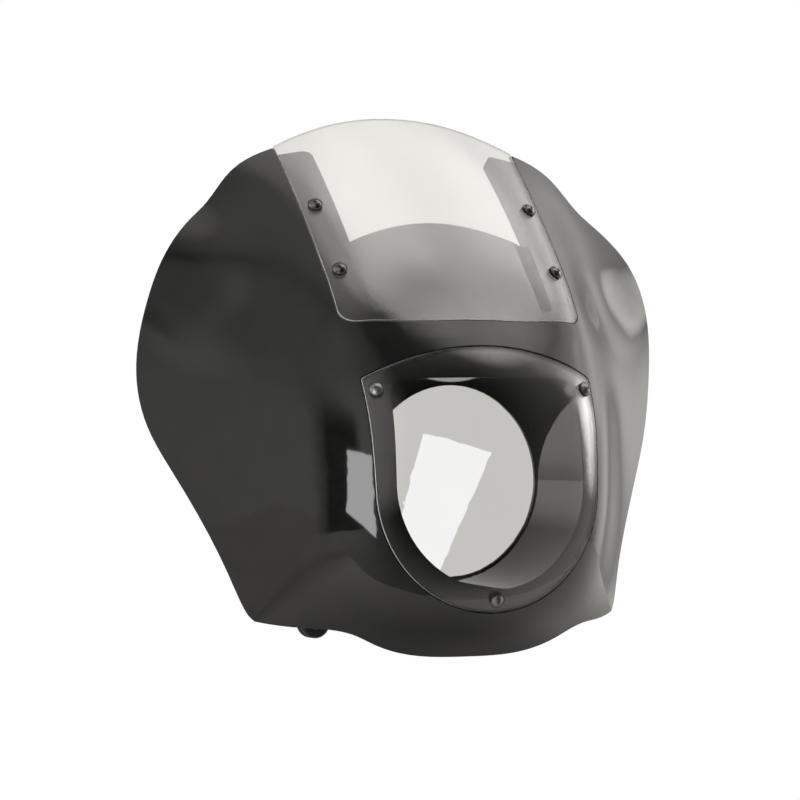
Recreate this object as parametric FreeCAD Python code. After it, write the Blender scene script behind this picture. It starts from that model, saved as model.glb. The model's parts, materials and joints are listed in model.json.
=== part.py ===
import FreeCAD, Part
import math
import os
from FreeCAD import Placement, Rotation, Vector

os.makedirs("parts", exist_ok=True)

# Driving dimensions in mm. X runs across, the front looks to -Y, Z is up.
# The origin is the centre of the round headlamp opening, on the front of the back plate.

# Skin: how far back (Y) four lines lie at each height, from the crown of the nose to the wing.
HEIGHTS = [345, 285, 240, 195, 150, 105, 60, 15, -30, -75, -115, -150, -180]
CENTRE_LINE = [147, 78, 35, -5, -37, -69, -87, -94, -97, -95, -73, -30, 5]
SCREEN_EDGE_LINE = [169, 102, 58, 19, -14, -36, -55, -62, -62, -50, -29, -1, 24]
VALLEY_LINE = [192, 126, 98, 64, 44, 21, 11, 9, 12, 19, 23, 28, 36]
WING_LINE = [185, 146, 122, 95, 83, 78, 77, 79, 85, 90, 90, 86, 80]
CROWN_X = 60
SCREEN_EDGE_X = 115
VALLEY_X = 172
WING_X = 235
SKIN_END_X = 275

# Rim of a wing, seen straight on to the wing from a quarter turn between front and side.
WING_VIEW = 45
WING_RIM = [(142, 297), (160.4, 291), (178, 281.5), (189, 271), (206.5, 238), (213.7, 227), (223.6, 205),
            (238.4, 150), (246.8, 95), (238.4, 51), (213.3, 7), (186.5, -37), (163.7, -81), (152, -105),
            (145, -115), (135, -121), (115, -125), (90, -130)]

# Lower rim, seen straight on to the underside of the chin, right half.
CHIN_VIEW = -45
CHIN_RIM = [(200, -114), (172, -100.5), (140, -84), (119, -75), (105, -73.5), (88, -78), (60, -84),
            (0, -84.5)]
WALL = 3.0

# Windscreen, drawn on a plane that leans back by its rake.
SCREEN_RAKE = 40.4
SCREEN_PLANE_Y = 35
SCREEN_PLANE_Z = 215
SCREEN_THICK = 3.0
SCREEN_HALF = 116.5
SCREEN_FLARE = 1
SCREEN_LOW = -98
SCREEN_LOW_MIDDLE = -110.4
SCREEN_HIGH = 108
SCREEN_HIGH_MIDDLE = 133.4
SCREEN_CORNER_R = 17
SCREEN_SCREW_INSET = 11.5
SCREEN_SCREW_ROWS = [28.8, -46.4]

# Opening behind the windscreen: two side strips stay, the panel between them is sunk.
STRIP_WIDE = 30
STRIP_TOP = 99
STRIP_TOP_R = 8
NOTCH_SIDE = -12.4
NOTCH_MIDDLE = 6.7
PANEL_DEPTH = 12
PANEL_LOW = -91
PANEL_LOW_MIDDLE = -100
PANEL_CORNER_R = 6

# Tunnel from the lens seat back to the plate that goes round the headlamp.
LAMP_HOLE_R = 82.5
LAMP_PLATE_STEP = 1.5
TUNNEL_CORNER_R = 11
TUNNEL_DRAFT = 3.6
TUNNEL_FRONT_Y = -110
BACK_PLATE = 3.0

# Headlamp lens seen from the front; its rim lies outside the tunnel by the width of its seat.
LENS_THICK = 3.0
LENS_SEAT_WIDE = 21.5
LENS_LOW_Z = -4
LENS_CORNER_OUT = 25
LENS_CORNER_UP = 4
LENS_ARCH = 27.3
LENS_CORNER_R = 4
LENS_SCREW_INSET = 9
LENS_LOW_SCREW_INSET = 10.5

# Gap round and behind both clear sheets.
EDGE_GAP = 0.8
SEAT_GAP = 1.5
FACE_GAP = 0.3
NOTCH_RELIEF = 0.4

# Truss head screws and washers of both clear sheets.
SCREW_R = 2.5
SCREW_HEAD_R = 5.5
SCREW_HEAD_HIGH = 2.8
WASHER_R = 6.5
WASHER_THICK = 1.0
HOLE_GAP = 0.3

# Rubber well nuts behind the windscreen, each with a brass insert at its far end.
NUT_R = 4.75
NUT_FLANGE_R = 6.5
NUT_LONG = 14
NUT_INSERT_R = 3.6
NUT_INSERT_LONG = 6

# Flanged brass inserts pressed into the lens seat.
LENS_INSERT_R = 3.6
LENS_INSERT_FLANGE_R = 5.5
LENS_INSERT_LONG = 6

# Fork brackets behind the shell, on moulded bosses.
BRACKET_X = 117
BRACKET_FRONT = 28.5
BRACKET_THICK = 3
BRACKET_WIDE = 26
CUSHION_ROWS = [104.5, -120.5]
BOSS_ROWS = [60, -75]
BOSS_R = 8
BOSS_DRAFT = 2
BOSS_INSERT_R = 4
BOSS_INSERT_LONG = 12
BOLT_R = 3
BOLT_HEAD_FLATS = 10
BOLT_HEAD_HIGH = 4
BOLT_LONG = 16
BOLT_WASHER_R = 6.25
BOLT_WASHER_THICK = 1.6
CUSHION_R = 13.5
CUSHION_NECK_R = 9
CUSHION_LIP = 5
CUSHION_BEVEL = 1.5
SLEEVE_R = 5.5
SLEEVE_BORE_R = 4.2
SLEEVE_PROUD = 1

# Lengths that only have to reach clear of the part.
REACH = 600
NEAR = 130
OPEN_RISE = 20
FINE = 0.001

# Sizes that follow from those above.
SCREEN_SEAT = SCREEN_THICK + SEAT_GAP
STRIP_HALF = SCREEN_HALF - STRIP_WIDE
TUNNEL_R = LAMP_HOLE_R + LAMP_PLATE_STEP
LENS_SEAT = LENS_THICK + SEAT_GAP
LENS_LOW_R = TUNNEL_R + LENS_SEAT_WIDE
LENS_CORNER = (TUNNEL_R + LENS_CORNER_OUT, TUNNEL_R + LENS_CORNER_UP)


def skin_grid():
    """Points of the skin, row by row downwards, the same on both sides."""
    grid = []
    for z, centre, edge, valley, wing in zip(HEIGHTS, CENTRE_LINE, SCREEN_EDGE_LINE, VALLEY_LINE, WING_LINE):
        crown = centre + (edge - centre) * (CROWN_X / SCREEN_EDGE_X) ** 2
        end = wing + (wing - valley) * (SKIN_END_X - WING_X) / (WING_X - VALLEY_X)
        half = [(CROWN_X, crown), (SCREEN_EDGE_X, edge), (VALLEY_X, valley), (WING_X, wing)]
        half.append((SKIN_END_X, end))
        left = [Vector(-x, y, z) for x, y in reversed(half)]
        right = [Vector(x, y, z) for x, y in half]
        grid.append(left + [Vector(0, centre, z)] + right)
    return grid


def through(points, marks):
    """Smooth curve that passes each point at its mark."""
    spline = Part.BSplineCurve()
    spline.interpolate(Points=points, Parameters=marks)
    return spline


def smooth(grid):
    """Smooth surface through a grid of points: across each row, then down the rows."""
    across = [point.x for point in skin_grid()[0]]
    down = [-z for z in HEIGHTS]
    rows = [through(points, across) for points in grid]
    columns = [through(poles, down) for poles in zip(*[row.getPoles() for row in rows])]
    poles = list(zip(*[column.getPoles() for column in columns]))
    surface = Part.BSplineSurface()
    u_knots, u_counts = columns[0].getKnots(), columns[0].getMultiplicities()
    v_knots, v_counts = rows[0].getKnots(), rows[0].getMultiplicities()
    surface.buildFromPolesMultsKnots(poles, u_counts, v_counts, u_knots, v_knots, False, False, 3, 3)
    return surface


SKIN = smooth(skin_grid())


def outward(point):
    """Normal of the skin at a point on it, to the front."""
    normal = SKIN.normal(*SKIN.parameter(point))
    return normal if normal.y < 0 else normal * -1


def sunk_surface(depth):
    """The whole skin moved inwards by a depth."""
    return smooth([[point - outward(point) * depth for point in row] for row in skin_grid()])


def behind(depth, far):
    """All the space behind the skin moved inwards by a depth, as far back as asked."""
    return Part.Face(sunk_surface(depth)).extrude(Vector(0, far, 0))


def sheet(block, top, bottom):
    """The part of a prism that lies between two depths below the skin."""
    return block.common(behind(top, REACH)).cut(behind(bottom, 2 * REACH)).Solids[0]


def curve(points):
    """Smooth edge through points."""
    spline = Part.BSplineCurve()
    spline.interpolate(points)
    return spline.toShape()


def drawing_plane(y, z, rake):
    """Placement of a drawing: its x goes across, its y up the rake, its z to the front."""
    return Placement(Vector(0, y, z), Rotation(Vector(1, 0, 0), 90 - rake))


FRONT_VIEW = drawing_plane(0, 0, 0)
SCREEN_VIEW = drawing_plane(SCREEN_PLANE_Y, SCREEN_PLANE_Z, SCREEN_RAKE)


def line(a, b):
    return Part.makeLine(Vector(a[0], a[1], 0), Vector(b[0], b[1], 0))


def arc(a, b, c):
    return Part.Arc(Vector(a[0], a[1], 0), Vector(b[0], b[1], 0), Vector(c[0], c[1], 0)).toShape()


def prism(edges, view, reach, corners=(), radius=0):
    """A closed drawing carried to both sides of its plane, with the named corners rounded."""
    face = Part.Face(Part.Wire(Part.__sortEdges__(edges)))
    block = face.extrude(Vector(0, 0, 2 * reach))
    block.translate(Vector(0, 0, -reach))
    if radius > 0:
        upright = [e for e in block.Edges if abs(e.Vertexes[0].Z - e.Vertexes[-1].Z) > reach]
        chosen = []
        for x, y in corners:
            chosen += [e for e in upright if math.hypot(e.Vertexes[0].X - x, e.Vertexes[0].Y - y) < FINE]
        block = block.makeFillet(radius, chosen).Solids[0]
    block.Placement = view.multiply(block.Placement)
    return block


def loop(points):
    """Straight edges from point to point."""
    return [line(a, b) for a, b in zip(points, points[1:])]


def rim_prism():
    """Outer rim of the shell: both wings and the chin, each cut square to its own stretch of skin."""
    turned = Placement(Vector(0, 0, 0), Rotation(Vector(0, 0, 1), WING_VIEW).multiply(FRONT_VIEW.Rotation))
    edges = [curve([Vector(x, y, 0) for x, y in WING_RIM])]
    top, low = WING_RIM[0], WING_RIM[-1]
    edges += loop([low, (low[0], -REACH), (-REACH, -REACH), (-REACH, top[1]), top])
    wing = prism(edges, turned, REACH)
    half = [Vector(x, y, 0) for x, y in CHIN_RIM]
    other = [Vector(-x, y, 0) for x, y in reversed(CHIN_RIM[:-1])]
    end, low = CHIN_RIM[0]
    edges = [curve(half + other)]
    edges += loop([(end, low), (REACH, low), (REACH, REACH), (-REACH, REACH), (-REACH, low), (-end, low)])
    chin = prism(edges, drawing_plane(0, 0, CHIN_VIEW), REACH)
    return wing.common(wing.mirror(Vector(0, 0, 0), Vector(1, 0, 0))).common(chin)


def screen_prism(grow, rise=0):
    """Edge of the windscreen, grown all round, its top raised."""
    low = (SCREEN_HALF - SCREEN_FLARE + grow, SCREEN_LOW - grow)
    high = (SCREEN_HALF + SCREEN_FLARE + grow, SCREEN_HIGH + rise)
    other_low = (-low[0], low[1])
    other_high = (-high[0], high[1])
    edges = [arc(low, (0, SCREEN_LOW_MIDDLE - grow), other_low)]
    edges.append(arc(high, (0, SCREEN_HIGH_MIDDLE + rise), other_high))
    edges.append(line(low, high))
    edges.append(line(other_low, other_high))
    return prism(edges, SCREEN_VIEW, NEAR, [low, other_low], SCREEN_CORNER_R + grow)


def panel_prism(grow):
    """Edge of the sunk panel behind the windscreen, open upwards."""
    low = (STRIP_HALF + grow, PANEL_LOW - grow)
    other_low = (-low[0], low[1])
    high = (low[0], SCREEN_HIGH)
    other_high = (-low[0], SCREEN_HIGH)
    edges = [arc(low, (0, PANEL_LOW_MIDDLE - grow), other_low)]
    edges.append(line(low, high))
    edges.append(line(high, other_high))
    edges.append(line(other_high, other_low))
    return prism(edges, SCREEN_VIEW, NEAR, [low, other_low], PANEL_CORNER_R + grow)


def notch_prism():
    """Opening above the sunk panel; at the top it also takes the ends off the side strips."""
    side = (STRIP_HALF, NOTCH_SIDE)
    shoulder = (STRIP_HALF, STRIP_TOP)
    arm = (SCREEN_HALF + SCREEN_FLARE + EDGE_GAP + NOTCH_RELIEF, STRIP_TOP)
    top = (arm[0], SCREEN_HIGH + NEAR)
    half = [side, shoulder, arm, top]
    other = [(-x, y) for x, y in half]
    edges = [arc(side, (0, NOTCH_MIDDLE), other[0])]
    for path in (half, other):
        edges += [line(a, b) for a, b in zip(path, path[1:])]
    edges.append(line(top, other[-1]))
    return prism(edges, SCREEN_VIEW, NEAR, [shoulder, other[1]], STRIP_TOP_R)


def lens_prism(grow):
    """Edge of the lens: round below, straight sides that meet it smoothly, arched top."""
    radius = LENS_LOW_R + grow
    corner = (LENS_CORNER[0] + grow, LENS_CORNER[1] + grow)
    reach = math.hypot(corner[0], corner[1] - LENS_LOW_Z)
    turn = math.atan2(corner[1] - LENS_LOW_Z, corner[0]) - math.acos(radius / reach)
    meet = (radius * math.cos(turn), LENS_LOW_Z + radius * math.sin(turn))
    other_corner = (-corner[0], corner[1])
    other_meet = (-meet[0], meet[1])
    edges = [arc(meet, (0, LENS_LOW_Z - radius), other_meet)]
    edges.append(arc(corner, (0, LENS_CORNER[1] + LENS_ARCH + grow), other_corner))
    edges.append(line(meet, corner))
    edges.append(line(other_meet, other_corner))
    return prism(edges, FRONT_VIEW, NEAR, [corner, other_corner], LENS_CORNER_R + grow)


def tunnel_wire(y, grow):
    """Section of the headlamp tunnel: half round below, square above with rounded corners."""
    grow -= y * math.tan(math.radians(TUNNEL_DRAFT))
    half = TUNNEL_R + grow
    top = half
    r = TUNNEL_CORNER_R + grow
    bend = r * (1 - math.sqrt(0.5))
    edges = [arc((half, 0), (0, -half), (-half, 0))]
    edges.append(line((-half, 0), (-half, top - r)))
    edges.append(arc((-half, top - r), (bend - half, top - bend), (r - half, top)))
    edges.append(line((r - half, top), (half - r, top)))
    edges.append(arc((half - r, top), (half - bend, top - bend), (half, top - r)))
    edges.append(line((half, top - r), (half, 0)))
    wire = Part.Wire(edges)
    wire.Placement = drawing_plane(y, 0, 0)
    return wire


def tunnel(grow, back):
    return Part.makeLoft([tunnel_wire(TUNNEL_FRONT_Y, grow), tunnel_wire(back, grow)], True, True)


def on_skin(x, y, view):
    """Placement on the skin where a point of a drawing falls, its z straight outwards."""
    ends = [view.multVec(Vector(x, y, z)) for z in (REACH, -REACH)]
    spot = Part.LineSegment(ends[0], ends[1]).intersectCS(SKIN)[0][0]
    spot = Vector(spot.X, spot.Y, spot.Z)
    return Placement(spot, Rotation(Vector(0, 0, 1), outward(spot)))


def screen_spots():
    x = SCREEN_HALF - SCREEN_SCREW_INSET
    return [on_skin(side * x, row, SCREEN_VIEW) for row in SCREEN_SCREW_ROWS for side in (-1, 1)]


def lens_spots():
    x, z = [size - LENS_SCREW_INSET for size in LENS_CORNER]
    upper = [on_skin(side * x, z, FRONT_VIEW) for side in (-1, 1)]
    return upper + [on_skin(0, LENS_LOW_Z - LENS_LOW_R + LENS_LOW_SCREW_INSET, FRONT_VIEW)]


SCREEN_SPOTS = screen_spots()
LENS_SPOTS = lens_spots()


def post(radius, low, high):
    """Round bar along its own z."""
    return Part.makeCylinder(radius, high - low, Vector(0, 0, low))


def at_spots(shape, spots):
    """Copies of a shape, one at each spot."""
    copies = []
    for spot in spots:
        copy = shape.copy()
        copy.Placement = spot
        copies.append(copy)
    return copies


def bracket_spots(y, rows):
    """Spots on both brackets at a depth, their z to the rear."""
    turn = Rotation(Vector(1, 0, 0), -90)
    return [Placement(Vector(side * BRACKET_X, y, row), turn) for row in rows for side in (-1, 1)]


def make_shell():
    """The one moulding: wall, both seats, sunk panel, tunnel, back plate and bosses."""
    rim = rim_prism()
    root = WALL / 2
    screen_pad = sheet(screen_prism(EDGE_GAP + WALL, OPEN_RISE).common(rim), root, SCREEN_SEAT + WALL)
    panel_pad = sheet(panel_prism(WALL), SCREEN_SEAT + root, PANEL_DEPTH + WALL)
    lens_pad = sheet(lens_prism(EDGE_GAP + WALL), root, LENS_SEAT + WALL)
    duct = tunnel(WALL, BACK_PLATE).common(behind(LENS_SEAT + root, REACH))
    boss_long = BRACKET_FRONT - TUNNEL_FRONT_Y
    base_r = BOSS_R + boss_long * math.tan(math.radians(BOSS_DRAFT))
    boss = Part.makeCone(BOSS_R, base_r, boss_long, Vector(0, 0, 0), Vector(0, 0, -1))
    inside = behind(root, REACH)
    bosses = [b.common(inside) for b in at_spots(boss, bracket_spots(BRACKET_FRONT, BOSS_ROWS))]
    solid = sheet(rim, 0, WALL).fuse([screen_pad, panel_pad, lens_pad, duct] + bosses)
    cuts = [sheet(screen_prism(EDGE_GAP, OPEN_RISE), -2 * WALL, SCREEN_SEAT)]
    cuts.append(sheet(panel_prism(0), root, PANEL_DEPTH))
    cuts.append(sheet(lens_prism(EDGE_GAP), -2 * WALL, LENS_SEAT))
    cuts.append(tunnel(0, 0))
    cuts.append(notch_prism())
    cuts.append(Part.makeCylinder(LAMP_HOLE_R, REACH, Vector(0, -root, 0), Vector(0, 1, 0)))
    cuts += at_spots(post(NUT_R + HOLE_GAP, -REACH / 10, 0), SCREEN_SPOTS)
    cuts += at_spots(post(LENS_INSERT_R, -LENS_SEAT - LENS_INSERT_LONG, 0), LENS_SPOTS)
    cuts += at_spots(post(BOSS_INSERT_R, -BOSS_INSERT_LONG, 1), bracket_spots(BRACKET_FRONT, BOSS_ROWS))
    cuts += at_spots(post(BOLT_R + HOLE_GAP, -BOLT_LONG - WALL, 0), bracket_spots(BRACKET_FRONT, BOSS_ROWS))
    return solid.cut(cuts)


def make_clear_sheet(outline, thick, spots):
    """Clear sheet flush with the skin, drilled for its screws."""
    holes = at_spots(post(SCREW_R + HOLE_GAP, -REACH / 10, REACH / 10), spots)
    return sheet(outline, 0, thick).cut(holes)


def make_screw(tip):
    """Truss head screw; its head stands on the washer, its shank ends at the tip."""
    under = FACE_GAP + WASHER_THICK
    dome_r = (SCREW_HEAD_R ** 2 + SCREW_HEAD_HIGH ** 2) / (2 * SCREW_HEAD_HIGH)
    edge = math.degrees(math.acos(SCREW_HEAD_R / dome_r))
    middle = Vector(0, 0, under + SCREW_HEAD_HIGH - dome_r)
    head = Part.makeSphere(dome_r, middle, Vector(0, 0, 1), edge, 90, 360)
    return head.fuse(post(SCREW_R, -tip, under + SCREW_HEAD_HIGH / 2))


def make_washer():
    ring = post(WASHER_R, FACE_GAP, FACE_GAP + WASHER_THICK)
    return ring.cut(post(SCREW_R + HOLE_GAP, -1, REACH))


def make_well_nut():
    """Rubber body with a flange under the windscreen and a socket for the brass insert."""
    top = -SCREEN_THICK - FACE_GAP
    flange = post(NUT_FLANGE_R, FACE_GAP - SCREEN_SEAT, top)
    body = post(NUT_R, top - NUT_LONG, top)
    bore = post(SCREW_R + HOLE_GAP, -REACH, 0)
    socket = post(NUT_INSERT_R, top - NUT_LONG, top - NUT_LONG + NUT_INSERT_LONG)
    return flange.fuse(body).cut([bore, socket])


def make_nut_insert():
    low = -SCREEN_THICK - FACE_GAP - NUT_LONG
    return post(NUT_INSERT_R, low, low + NUT_INSERT_LONG).cut(post(SCREW_R, -REACH, 0))


def make_lens_insert():
    top = -LENS_THICK - FACE_GAP
    flange = post(LENS_INSERT_FLANGE_R, FACE_GAP - LENS_SEAT, top)
    body = post(LENS_INSERT_R, top - LENS_INSERT_LONG, top)
    return flange.fuse(body).cut(post(SCREW_R, -REACH, 0))


def make_bracket(side):
    """Flat steel strap with round ends: a cushion in each end, two bolts into the bosses."""
    half = BRACKET_WIDE / 2
    low, high = min(CUSHION_ROWS), max(CUSHION_ROWS)
    edges = [line((half, low), (half, high)), line((-half, low), (-half, high))]
    edges.append(arc((half, high), (0, high + half), (-half, high)))
    edges.append(arc((half, low), (0, low - half), (-half, low)))
    plate = Part.Face(Part.Wire(Part.__sortEdges__(edges))).extrude(Vector(0, 0, -BRACKET_THICK))
    holes = [post(CUSHION_NECK_R, -REACH, REACH).translated(Vector(0, row, 0)) for row in CUSHION_ROWS]
    holes += [post(BOLT_R + HOLE_GAP, -REACH, REACH).translated(Vector(0, row, 0)) for row in BOSS_ROWS]
    plate = plate.cut(holes)
    plate.Placement = Placement(Vector(side * BRACKET_X, BRACKET_FRONT, 0), FRONT_VIEW.Rotation)
    return plate


def make_cushion():
    """Rubber cushion snapped into the strap, a lip on each side."""
    front_lip = post(CUSHION_R, -CUSHION_LIP, 0)
    back_lip = post(CUSHION_R, BRACKET_THICK, BRACKET_THICK + CUSHION_LIP)
    front_lip = front_lip.makeChamfer(CUSHION_BEVEL, [front_lip.Edges[2]])
    back_lip = back_lip.makeChamfer(CUSHION_BEVEL, [back_lip.Edges[0]])
    neck = post(CUSHION_NECK_R, -1, BRACKET_THICK + 1)
    return neck.fuse([front_lip, back_lip]).cut(post(SLEEVE_R, -REACH, REACH))


def make_sleeve():
    low = -CUSHION_LIP - SLEEVE_PROUD
    high = BRACKET_THICK + CUSHION_LIP + SLEEVE_PROUD
    return post(SLEEVE_R, low, high).cut(post(SLEEVE_BORE_R, -REACH, REACH))


def make_bolt():
    """Hex bolt through washer and strap into the boss insert."""
    under = BRACKET_THICK + BOLT_WASHER_THICK
    corner = BOLT_HEAD_FLATS / 2 / math.cos(math.pi / 6)
    turns = [k * math.pi / 3 for k in range(7)]
    hexagon = Part.makePolygon([Vector(corner * math.cos(t), corner * math.sin(t), under) for t in turns])
    head = Part.Face(hexagon).extrude(Vector(0, 0, BOLT_HEAD_HIGH))
    return head.fuse(post(BOLT_R, under - BOLT_LONG, under + BOLT_HEAD_HIGH / 2))


def save(name, shapes):
    """Write one node; a node of several copies is a group of separate solids."""
    shape = shapes[0] if len(shapes) == 1 else Part.makeCompound(shapes)
    shape.exportStep("parts/" + name + ".step")


tip = SCREEN_SEAT + NUT_LONG
lens_tip = LENS_THICK + FACE_GAP + LENS_INSERT_LONG
bolts = bracket_spots(BRACKET_FRONT, BOSS_ROWS)
cushions = bracket_spots(BRACKET_FRONT, CUSHION_ROWS)
bolt_washer = post(BOLT_WASHER_R, BRACKET_THICK, BRACKET_THICK + BOLT_WASHER_THICK)
boss_insert = post(BOSS_INSERT_R, -BOSS_INSERT_LONG, 0)

save("fairing_shell", make_shell().Solids)
save("windscreen", make_clear_sheet(screen_prism(0), SCREEN_THICK, SCREEN_SPOTS).Solids)
save("headlamp_lens", make_clear_sheet(lens_prism(0), LENS_THICK, LENS_SPOTS).Solids)
save("windscreen_screws", at_spots(make_screw(tip), SCREEN_SPOTS))
save("windscreen_washers", at_spots(make_washer(), SCREEN_SPOTS))
save("windscreen_well_nuts", at_spots(make_well_nut(), SCREEN_SPOTS))
save("well_nut_inserts", at_spots(make_nut_insert(), SCREEN_SPOTS))
save("lens_screws", at_spots(make_screw(lens_tip), LENS_SPOTS))
save("lens_washers", at_spots(make_washer(), LENS_SPOTS))
save("lens_inserts", at_spots(make_lens_insert(), LENS_SPOTS))
save("left_fork_bracket", [make_bracket(1)])
save("right_fork_bracket", [make_bracket(-1)])
save("boss_inserts", at_spots(boss_insert.cut(post(BOLT_R, -REACH, REACH)), bolts))
save("bracket_bolts", at_spots(make_bolt(), bolts))
save("bracket_washers", at_spots(bolt_washer.cut(post(BOLT_R + HOLE_GAP, -REACH, REACH)), bolts))
save("fork_cushions", at_spots(make_cushion(), cushions))
save("cushion_sleeves", at_spots(make_sleeve(), cushions))
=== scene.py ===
import json
import math

import bpy
import numpy
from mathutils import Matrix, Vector

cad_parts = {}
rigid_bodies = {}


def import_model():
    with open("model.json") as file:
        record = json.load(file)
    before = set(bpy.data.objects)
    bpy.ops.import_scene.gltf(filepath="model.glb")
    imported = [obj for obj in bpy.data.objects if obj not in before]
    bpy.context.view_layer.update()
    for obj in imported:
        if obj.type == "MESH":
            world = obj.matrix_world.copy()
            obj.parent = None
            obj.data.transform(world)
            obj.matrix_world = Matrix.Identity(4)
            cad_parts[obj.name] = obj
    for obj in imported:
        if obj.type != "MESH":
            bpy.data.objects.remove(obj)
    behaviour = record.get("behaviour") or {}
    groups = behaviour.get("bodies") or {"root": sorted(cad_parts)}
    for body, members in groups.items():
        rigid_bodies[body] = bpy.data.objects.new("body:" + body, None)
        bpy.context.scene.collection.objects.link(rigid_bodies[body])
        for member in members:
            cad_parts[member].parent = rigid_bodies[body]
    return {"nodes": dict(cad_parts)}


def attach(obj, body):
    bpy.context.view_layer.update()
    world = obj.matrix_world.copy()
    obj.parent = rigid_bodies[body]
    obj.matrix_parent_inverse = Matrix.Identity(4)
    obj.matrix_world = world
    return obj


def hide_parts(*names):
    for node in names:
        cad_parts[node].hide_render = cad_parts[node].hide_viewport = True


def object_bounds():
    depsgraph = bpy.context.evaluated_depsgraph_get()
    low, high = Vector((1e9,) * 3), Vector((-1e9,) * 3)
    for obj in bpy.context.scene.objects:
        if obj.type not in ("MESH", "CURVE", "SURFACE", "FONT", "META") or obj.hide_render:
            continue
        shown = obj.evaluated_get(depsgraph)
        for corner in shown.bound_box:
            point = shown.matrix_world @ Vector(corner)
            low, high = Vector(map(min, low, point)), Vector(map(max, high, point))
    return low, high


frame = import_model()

nodes = frame["nodes"]
cad_box = [list(corner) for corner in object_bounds()]
bpy.ops.object.select_all(action="DESELECT")


# Fairing shell: one moulding of black ABS with the headlamp tunnel and four bosses, which carries
# everything else. Its skin is polished and keeps a faint orange peel, its back is left matt from the
# mould, and buffing has rounded its edges a little.
def speckled(name, dark, light, rough, grain, wave, metal=0.0):
    """Material with a mottled tone, an uneven gloss and a fine surface wave."""
    gloss_spread = 0.3
    ripples_per_grain = 5.0
    ripple_height = 0.0004
    material = bpy.data.materials.new(name)
    material.use_nodes = True
    tree = material.node_tree
    shader = tree.nodes["Principled BSDF"]
    shader.inputs["Metallic"].default_value = metal
    place = tree.nodes.new("ShaderNodeTexCoord")
    mottle = tree.nodes.new("ShaderNodeTexNoise")
    mottle.inputs["Scale"].default_value = grain
    mottle.inputs["Detail"].default_value = 6.0
    tones = tree.nodes.new("ShaderNodeValToRGB")
    tones.color_ramp.elements[0].position = 0.3
    tones.color_ramp.elements[0].color = (*dark, 1.0)
    tones.color_ramp.elements[1].position = 0.7
    tones.color_ramp.elements[1].color = (*light, 1.0)
    gloss = tree.nodes.new("ShaderNodeMapRange")
    gloss.inputs["To Min"].default_value = rough * (1.0 - gloss_spread)
    gloss.inputs["To Max"].default_value = rough * (1.0 + gloss_spread)
    ripple = tree.nodes.new("ShaderNodeTexNoise")
    ripple.inputs["Scale"].default_value = grain * ripples_per_grain
    ripple.inputs["Detail"].default_value = 3.0
    bump = tree.nodes.new("ShaderNodeBump")
    bump.inputs["Strength"].default_value = wave
    bump.inputs["Distance"].default_value = ripple_height
    for texture in (mottle, ripple):
        tree.links.new(place.outputs["Object"], texture.inputs["Vector"])
    tree.links.new(mottle.outputs["Fac"], tones.inputs["Fac"])
    tree.links.new(tones.outputs["Color"], shader.inputs["Base Color"])
    tree.links.new(mottle.outputs["Fac"], gloss.inputs["Value"])
    tree.links.new(gloss.outputs["Result"], shader.inputs["Roughness"])
    tree.links.new(ripple.outputs["Fac"], bump.inputs["Height"])
    tree.links.new(bump.outputs["Normal"], shader.inputs["Normal"])
    return material


def paint(material, *names):
    """Give CAD nodes one finish."""
    for name in names:
        nodes[name].data.materials.clear()
        nodes[name].data.materials.append(material)


black_abs = speckled("gloss_black_abs", dark=(0.003, 0.003, 0.003), light=(0.006, 0.006, 0.0055),
                     rough=0.06, grain=60.0, wave=0.0015)
back_starts = 0.1
back_is_matt = 0.2
matt_rough = 0.4
edge_round = 0.0012
tree = black_abs.node_tree
shader = tree.nodes["Principled BSDF"]
rearward = tree.nodes.new("ShaderNodeSeparateXYZ")
matt_back = tree.nodes.new("ShaderNodeMapRange")
matt_back.inputs["From Min"].default_value = back_starts
matt_back.inputs["From Max"].default_value = back_is_matt
matt_back.inputs["To Max"].default_value = matt_rough
skin_and_back = tree.nodes.new("ShaderNodeMath")
skin_and_back.operation = "ADD"
skin_gloss = shader.inputs["Roughness"].links[0].from_socket
tree.links.new(tree.nodes["Texture Coordinate"].outputs["Normal"], rearward.inputs["Vector"])
tree.links.new(rearward.outputs["Y"], matt_back.inputs["Value"])
tree.links.new(skin_gloss, skin_and_back.inputs[0])
tree.links.new(matt_back.outputs["Result"], skin_and_back.inputs[1])
tree.links.new(skin_and_back.outputs["Value"], shader.inputs["Roughness"])
buffed_edge = tree.nodes.new("ShaderNodeBevel")
buffed_edge.inputs["Radius"].default_value = edge_round
tree.links.new(buffed_edge.outputs["Normal"], tree.nodes["Bump"].inputs["Normal"])
paint(black_abs, "fairing_shell")


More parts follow.
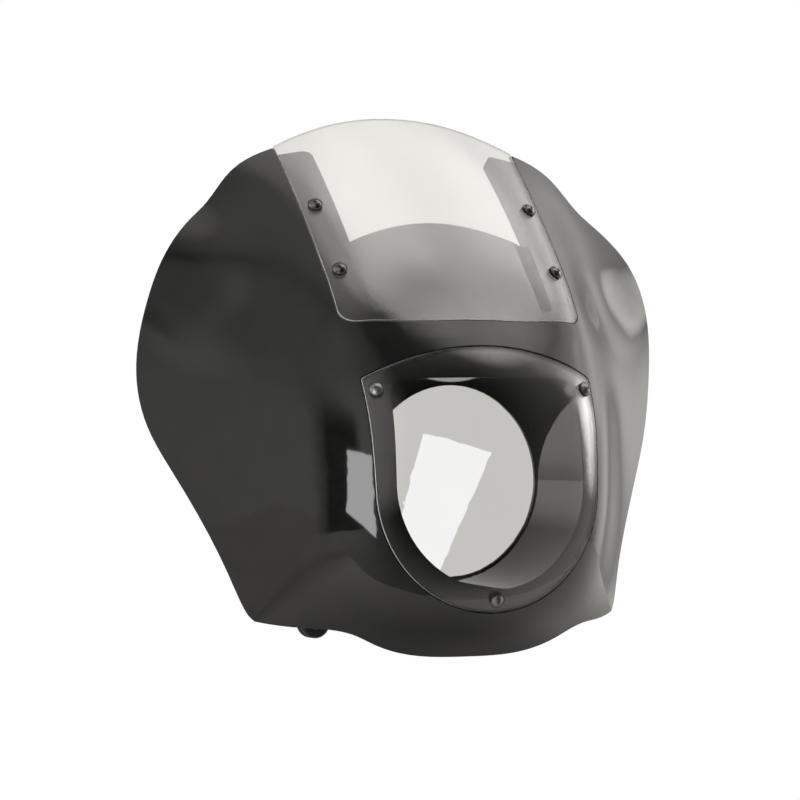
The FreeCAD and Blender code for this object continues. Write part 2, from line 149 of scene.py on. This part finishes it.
# Windscreen: 3 mm clear polycarbonate bent to the skin, in its seat with a thin gap all round.
# Its faces are polished, with a slight haze from wiping; its sawn edge is milky and catches light.
def clear_sheet(name, straight_on):
    """Clear material for a sheet whose edge runs square to a direction; light passes through it."""
    material = bpy.data.materials.new(name)
    material.use_nodes = True
    tree = material.node_tree
    shader = tree.nodes["Principled BSDF"]
    shader.inputs["Transmission Weight"].default_value = 1.0
    shader.inputs["IOR"].default_value = 1.5
    place = tree.nodes.new("ShaderNodeTexCoord")
    wipe = tree.nodes.new("ShaderNodeTexNoise")
    wipe.inputs["Scale"].default_value = 25.0
    wipe.inputs["Detail"].default_value = 5.0
    tint = tree.nodes.new("ShaderNodeValToRGB")
    tint.color_ramp.elements[0].color = (0.95, 0.95, 0.935, 1.0)
    tint.color_ramp.elements[1].color = (0.98, 0.98, 0.965, 1.0)
    haze = tree.nodes.new("ShaderNodeMapRange")
    haze.inputs["To Max"].default_value = 0.03
    tree.links.new(place.outputs["Object"], wipe.inputs["Vector"])
    tree.links.new(wipe.outputs["Fac"], tint.inputs["Fac"])
    tree.links.new(tint.outputs["Color"], shader.inputs["Base Color"])
    tree.links.new(wipe.outputs["Fac"], haze.inputs["Value"])
    tree.links.new(haze.outputs["Result"], shader.inputs["Roughness"])

    edge_starts = 0.4
    edge_ends = 0.6
    sawn = tree.nodes.new("ShaderNodeBsdfDiffuse")
    sawn.inputs["Color"].default_value = (0.9, 0.9, 0.89, 1.0)
    facing = tree.nodes.new("ShaderNodeVectorMath")
    facing.operation = "DOT_PRODUCT"
    facing.inputs[1].default_value = straight_on
    turned = tree.nodes.new("ShaderNodeMapRange")
    turned.inputs["From Min"].default_value = -1.0
    edge = tree.nodes.new("ShaderNodeValToRGB")
    edge.color_ramp.interpolation = "CONSTANT"
    edge.color_ramp.elements[0].color = (0.0, 0.0, 0.0, 1.0)
    edge.color_ramp.elements[1].color = (0.0, 0.0, 0.0, 1.0)
    edge.color_ramp.elements[1].position = edge_ends
    rim = edge.color_ramp.elements.new(edge_starts)
    rim.color = (0.9, 0.9, 0.9, 1.0)
    sheet = tree.nodes.new("ShaderNodeMixShader")
    tree.links.new(place.outputs["Normal"], facing.inputs[0])
    tree.links.new(facing.outputs["Value"], turned.inputs["Value"])
    tree.links.new(turned.outputs["Result"], edge.inputs["Fac"])
    tree.links.new(edge.outputs["Color"], sheet.inputs["Fac"])
    tree.links.new(shader.outputs["BSDF"], sheet.inputs[1])
    tree.links.new(sawn.outputs["BSDF"], sheet.inputs[2])

    path = tree.nodes.new("ShaderNodeLightPath")
    open_way = tree.nodes.new("ShaderNodeBsdfTransparent")
    open_way.inputs["Color"].default_value = (0.92, 0.92, 0.91, 1.0)
    lit = tree.nodes.new("ShaderNodeMixShader")
    tree.links.new(path.outputs["Is Shadow Ray"], lit.inputs["Fac"])
    tree.links.new(sheet.outputs["Shader"], lit.inputs[1])
    tree.links.new(open_way.outputs["BSDF"], lit.inputs[2])
    tree.links.new(lit.outputs["Shader"], tree.nodes["Material Output"].inputs["Surface"])
    return material


screen_rake = math.radians(40.4)
screen_front = (0.0, -math.cos(screen_rake), math.sin(screen_rake))
paint(clear_sheet("clear_windscreen", screen_front), "windscreen")


# Windscreen screws: four dark steel truss head screws with a cross recess, each on a nylon washer. They
# go through the sheet into a rubber well nut with a brass insert, which bulges behind the seat strip.
def ring_places(node):
    """Centre and outward direction of each ring of a washer node."""
    ring_reach = 0.02
    corners = numpy.array([vertex.co for vertex in nodes[node].data.vertices])
    places = []
    while len(corners):
        near = numpy.linalg.norm(corners - corners[0], axis=1) < ring_reach
        ring = numpy.unique(corners[near].round(6), axis=0)
        centre = ring.mean(axis=0)
        axis = Vector(numpy.linalg.svd(ring - centre)[2][2])
        places.append((Vector(centre), axis if axis.y < 0 else -axis))
        corners = corners[~near]
    return places


def crosses(places, head_top, turn_step):
    """Cutter with one tapered cross at each place, every next one turned further."""
    arm = 0.0055
    blade = 0.0012
    deep = 0.0022
    tip_taper = (0.5, 0.6, 1.0)
    bars = []
    for count, (centre, axis) in enumerate(places):
        for quarter in (0, 1):
            bpy.ops.mesh.primitive_cube_add(size=1.0)
            bar = bpy.context.object
            bpy.ops.object.mode_set(mode="EDIT")
            bpy.ops.mesh.select_all(action="SELECT")
            bpy.ops.transform.resize(value=(arm, blade, 2.0 * deep))
            bpy.ops.mesh.select_all(action="DESELECT")
            bpy.ops.object.mode_set(mode="OBJECT")
            for vertex in bar.data.vertices:
                vertex.select = vertex.co.z < 0
            bpy.ops.object.mode_set(mode="EDIT")
            bpy.ops.mesh.select_mode(type="VERT")
            bpy.ops.transform.resize(value=tip_taper)
            bpy.ops.object.mode_set(mode="OBJECT")
            bar.rotation_mode = "QUATERNION"
            bar.rotation_quaternion = axis.to_track_quat("Z", "Y")
            bar.location = centre + axis * head_top
            bpy.ops.object.transform_apply(location=False, rotation=True, scale=False)
            bar.rotation_mode = "AXIS_ANGLE"
            bar.rotation_axis_angle = (count * turn_step + quarter * math.pi / 2, *axis)
            bpy.ops.object.transform_apply(location=True, rotation=True, scale=False)
            bars.append(bar)
    bpy.ops.object.select_all(action="DESELECT")
    for bar in bars:
        bar.select_set(True)
    bpy.ops.object.join()
    return bpy.context.object


def recessed(node, cutter, material):
    """Copy of a screw node with the cutter taken out of its heads, which stands for the node."""
    merge_reach = 0.00001
    smooth_angle = math.radians(35.0)
    bpy.ops.object.select_all(action="DESELECT")
    nodes[node].select_set(True)
    bpy.context.view_layer.objects.active = nodes[node]
    bpy.ops.object.duplicate()
    screws = bpy.context.object
    screws.name = node + "_recessed"
    bpy.ops.object.parent_clear(type="CLEAR_KEEP_TRANSFORM")
    bpy.ops.mesh.customdata_custom_splitnormals_clear()
    bpy.ops.object.mode_set(mode="EDIT")
    bpy.ops.mesh.select_all(action="SELECT")
    bpy.ops.mesh.remove_doubles(threshold=merge_reach)
    bpy.ops.object.mode_set(mode="OBJECT")
    cut = screws.modifiers.new("recess", "BOOLEAN")
    cut.operation = "DIFFERENCE"
    cut.object = cutter
    cut.use_self = True
    bpy.ops.object.modifier_apply(modifier=cut.name)
    bpy.ops.object.shade_smooth_by_angle(angle=smooth_angle)
    screws.data.materials.clear()
    screws.data.materials.append(material)
    bpy.data.objects.remove(cutter)
    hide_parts(node)
    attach(screws, "root")
    return screws


screw_head_top = 0.0033
screen_screw_turn = 0.4
dark_steel = speckled("black_oxide_steel", dark=(0.1, 0.1, 0.098), light=(0.2, 0.2, 0.195),
                      rough=0.22, grain=500.0, wave=0.05, metal=0.9)
screen_crosses = crosses(ring_places("windscreen_washers"), screw_head_top, screen_screw_turn)
screen_screws = recessed("windscreen_screws", screen_crosses, dark_steel)
nylon = speckled("black_nylon", dark=(0.02, 0.02, 0.02), light=(0.04, 0.04, 0.04),
                 rough=0.45, grain=400.0, wave=0.1)
rubber = speckled("black_rubber", dark=(0.008, 0.008, 0.008), light=(0.02, 0.02, 0.02),
                  rough=0.6, grain=300.0, wave=0.3)
brass = speckled("brass", dark=(0.55, 0.36, 0.12), light=(0.72, 0.5, 0.2),
                 rough=0.3, grain=400.0, wave=0.1, metal=1.0)
paint(nylon, "windscreen_washers")
paint(rubber, "windscreen_well_nuts")
paint(brass, "well_nut_inserts")


# Headlamp lens: the same clear sheet, cut like a shield, in a seat in front of the headlamp tunnel.
# Three zinc plated screws on nylon washers hold it to blackened brass inserts pressed into the seat.
lens_front = (0.0, -1.0, 0.0)
lens_screw_turn = 0.7
paint(clear_sheet("clear_lens", lens_front), "headlamp_lens")
zinc = speckled("zinc_steel", dark=(0.16, 0.16, 0.155), light=(0.3, 0.3, 0.29),
                rough=0.4, grain=500.0, wave=0.1, metal=0.9)
lens_crosses = crosses(ring_places("lens_washers"), screw_head_top, lens_screw_turn)
lens_screws = recessed("lens_screws", lens_crosses, zinc)
paint(nylon, "lens_washers")
dark_brass = speckled("blackened_brass", dark=(0.03, 0.027, 0.02), light=(0.07, 0.06, 0.04),
                      rough=0.4, grain=400.0, wave=0.1, metal=0.7)
paint(dark_brass, "lens_inserts")


# Fork brackets: two powder coated steel straps, bolted to brass inserts in the shell's bosses. Rubber
# cushions in the straps carry steel sleeves for the fork bolts.
powder_coat = speckled("black_powder_coat", dark=(0.01, 0.01, 0.01), light=(0.025, 0.025, 0.025),
                       rough=0.42, grain=500.0, wave=0.4)
paint(powder_coat, "left_fork_bracket", "right_fork_bracket")
paint(brass, "boss_inserts")
paint(zinc, "bracket_bolts", "bracket_washers", "cushion_sleeves")
paint(rubber, "fork_cushions")


# Studio: a pale floor behind and to the left, in a white cloth tent with soft lamps. The camera sees
# plain white and the clear sheets pass a pale grey. The gloss sees the tent, which is dim in front and
# brightest on the right, the floor and three cards.
floor_wide = 8.0
floor_below = 0.01
bpy.ops.mesh.primitive_plane_add(size=floor_wide, location=(-3.4, 3.88, cad_box[0][2] - floor_below))
floor = bpy.context.object
floor.name = "floor"
floor.visible_camera = False
floor.visible_transmission = False
pale_floor = speckled("pale_floor", dark=(0.93, 0.92, 0.9), light=(0.96, 0.95, 0.93),
                      rough=0.9, grain=3.0, wave=0.0)
floor.data.materials.append(pale_floor)


def towards(azimuth, elevation):
    """Direction from the object; azimuth 0 is straight in front, 90 on the right of the picture."""
    turn = math.radians(azimuth)
    rise = math.radians(elevation)
    return Vector((math.sin(turn) * math.cos(rise), -math.cos(turn) * math.cos(rise), math.sin(rise)))


world = bpy.data.worlds.new("tent")
bpy.context.scene.world = world
world.use_nodes = True
tree = world.node_tree
place = tree.nodes.new("ShaderNodeTexCoord")


def glow(azimuth, elevation, outer, inner, power):
    """Soft round patch of the tent's brightness: full inside one angle, gone outside the other."""
    near = tree.nodes.new("ShaderNodeVectorMath")
    near.operation = "DOT_PRODUCT"
    near.inputs[1].default_value = towards(azimuth, elevation)
    fade = tree.nodes.new("ShaderNodeMapRange")
    fade.interpolation_type = "SMOOTHSTEP"
    fade.inputs["From Min"].default_value = math.cos(math.radians(outer))
    fade.inputs["From Max"].default_value = math.cos(math.radians(inner))
    fade.inputs["To Max"].default_value = power
    tree.links.new(place.outputs["Generated"], near.inputs[0])
    tree.links.new(near.outputs["Value"], fade.inputs["Value"])
    return fade.outputs["Result"]


cloth = glow(185.0, -10.0, 165.0, 105.0, 0.48)
right_lamp = glow(87.0, 12.0, 15.0, 3.0, 3.2)
right_high_lamp = glow(100.0, 30.0, 30.0, 5.0, 1.3)
right_rear_lamp = glow(112.0, 0.0, 20.0, 3.0, 1.0)
right_top_lamp = glow(80.0, 64.0, 27.0, 8.0, 1.9)
top_lamp = glow(30.0, 80.0, 22.0, 5.0, 0.9)
left_lamp = glow(-85.0, 12.0, 50.0, 15.0, 0.3)
left_front_lamp = glow(-36.0, 22.0, 34.0, 10.0, 0.6)
left_top_lamp = glow(-45.0, 72.0, 28.0, 5.0, 0.4)
left_low_lamp = glow(-75.0, -14.0, 45.0, 12.0, 0.2)
left_rear_lamp = glow(-125.0, 0.0, 40.0, 15.0, 1.2)
for lamp in (right_lamp, right_high_lamp, right_rear_lamp, right_top_lamp, top_lamp, left_lamp,
             left_front_lamp, left_top_lamp, left_low_lamp, left_rear_lamp):
    both = tree.nodes.new("ShaderNodeMath")
    both.operation = "ADD"
    tree.links.new(cloth, both.inputs[0])
    tree.links.new(lamp, both.inputs[1])
    cloth = both.outputs["Value"]
around = tree.nodes["Background"]
around.inputs["Color"].default_value = (1.0, 0.98, 0.95, 1.0)
white = tree.nodes.new("ShaderNodeBackground")
white.inputs["Color"].default_value = (1.0, 1.0, 1.0, 1.0)
behind = tree.nodes.new("ShaderNodeBackground")
behind.inputs["Color"].default_value = (1.0, 0.985, 0.95, 1.0)
behind.inputs["Strength"].default_value = 0.62
path = tree.nodes.new("ShaderNodeLightPath")
first_mirror = 0.5
unmirrored = tree.nodes.new("ShaderNodeMath")
unmirrored.operation = "LESS_THAN"
unmirrored.inputs[1].default_value = first_mirror
straight_through = tree.nodes.new("ShaderNodeMath")
straight_through.operation = "MULTIPLY"
through_sheet = tree.nodes.new("ShaderNodeMixShader")
seen = tree.nodes.new("ShaderNodeMixShader")
tree.links.new(cloth, around.inputs["Strength"])
tree.links.new(path.outputs["Is Transmission Ray"], straight_through.inputs[0])
tree.links.new(path.outputs["Glossy Depth"], unmirrored.inputs[0])
tree.links.new(unmirrored.outputs["Value"], straight_through.inputs[1])
tree.links.new(straight_through.outputs["Value"], through_sheet.inputs["Fac"])
tree.links.new(around.outputs["Background"], through_sheet.inputs[1])
tree.links.new(behind.outputs["Background"], through_sheet.inputs[2])
tree.links.new(path.outputs["Is Camera Ray"], seen.inputs["Fac"])
tree.links.new(through_sheet.outputs["Shader"], seen.inputs[1])
tree.links.new(white.outputs["Background"], seen.inputs[2])
tree.links.new(seen.outputs["Shader"], tree.nodes["World Output"].inputs["Surface"])


def card(name, corners):
    """Four-cornered card that only mirrors see: low left, low right, top left, top right."""
    bpy.ops.mesh.primitive_plane_add(size=1.0)
    sheet = bpy.context.object
    sheet.name = name
    for vertex, corner in zip(sheet.data.vertices, corners):
        vertex.co = corner
    material = bpy.data.materials.new(name)
    material.use_nodes = True
    sheet.data.materials.append(material)
    sheet.visible_camera = False
    sheet.visible_transmission = False
    sheet.visible_shadow = False
    return sheet


def bright_card(name, bright, corners):
    """Card that gives its own light."""
    sheet = card(name, corners)
    tree = sheet.active_material.node_tree
    shine = tree.nodes.new("ShaderNodeEmission")
    shine.inputs["Strength"].default_value = bright
    tree.links.new(shine.outputs["Emission"], tree.nodes["Material Output"].inputs["Surface"])
    return sheet


# The white card stands behind the headlamp hole and is seen only through the lens.
white_card = bright_card("white_card", 1.0, [(0.2193, 0.5651, -0.0995), (0.2588, 0.5454, -0.1272),
                                             (0.2533, 0.5481, 0.0361), (0.3158, 0.517, 0.0166)])
white_card.visible_transmission = True
white_card.visible_glossy = False
white_card.visible_diffuse = False

# The patch card is mirrored beside the lens, and the dark card keeps the skin round it black.
bright_card("patch_card", 8.0, [(-0.35, -0.128, -0.057), (-0.263, -0.226, -0.131),
                                (-0.344, -0.144, 0.054), (-0.283, -0.228, 0.056)])
dark_card = card("dark_card", [(-0.4473, -0.0594, -0.12), (-0.4046, -0.2599, -0.14),
                               (-0.44, -0.0936, 0.27), (-0.4005, -0.2794, 0.27)])
tree = dark_card.active_material.node_tree
across = tree.nodes.new("ShaderNodeTexCoord")
split = tree.nodes.new("ShaderNodeSeparateXYZ")
feather = tree.nodes.new("ShaderNodeValToRGB")
feather.color_ramp.elements[0].color = (0.0, 0.0, 0.0, 1.0)
feather.color_ramp.elements[1].color = (0.0, 0.0, 0.0, 1.0)
for stop in (0.2, 0.75):
    middle = feather.color_ramp.elements.new(stop)
    middle.color = (0.94, 0.94, 0.94, 1.0)
top_fade = tree.nodes.new("ShaderNodeMapRange")
top_fade.interpolation_type = "SMOOTHSTEP"
top_fade.inputs["From Min"].default_value = 1.0
top_fade.inputs["From Max"].default_value = 0.55
thick = tree.nodes.new("ShaderNodeMath")
thick.operation = "MULTIPLY"
gap = tree.nodes.new("ShaderNodeBsdfTransparent")
felt = tree.nodes.new("ShaderNodeBsdfDiffuse")
felt.inputs["Color"].default_value = (0.01, 0.01, 0.01, 1.0)
mixed = tree.nodes.new("ShaderNodeMixShader")
tree.links.new(across.outputs["UV"], split.inputs["Vector"])
tree.links.new(split.outputs["X"], feather.inputs["Fac"])
tree.links.new(split.outputs["Y"], top_fade.inputs["Value"])
tree.links.new(feather.outputs["Color"], thick.inputs[0])
tree.links.new(top_fade.outputs["Result"], thick.inputs[1])
tree.links.new(thick.outputs["Value"], mixed.inputs["Fac"])
tree.links.new(gap.outputs["BSDF"], mixed.inputs[1])
tree.links.new(felt.outputs["BSDF"], mixed.inputs[2])
tree.links.new(mixed.outputs["Shader"], tree.nodes["Material Output"].inputs["Surface"])


# Camera: level with the headlamp, in front of the fairing and to its right, with a long lens.
camera_place = (-1.46524, -2.84104, 0.06997)
camera_turn = math.radians(26.5)
bpy.ops.object.camera_add(location=camera_place)
camera = bpy.context.object
camera.data.lens = 166.5
camera.data.sensor_width = 36.0
camera.rotation_euler = (math.pi / 2, 0.0, -camera_turn)
bpy.context.scene.camera = camera
bpy.context.scene.view_settings.view_transform = "Standard"
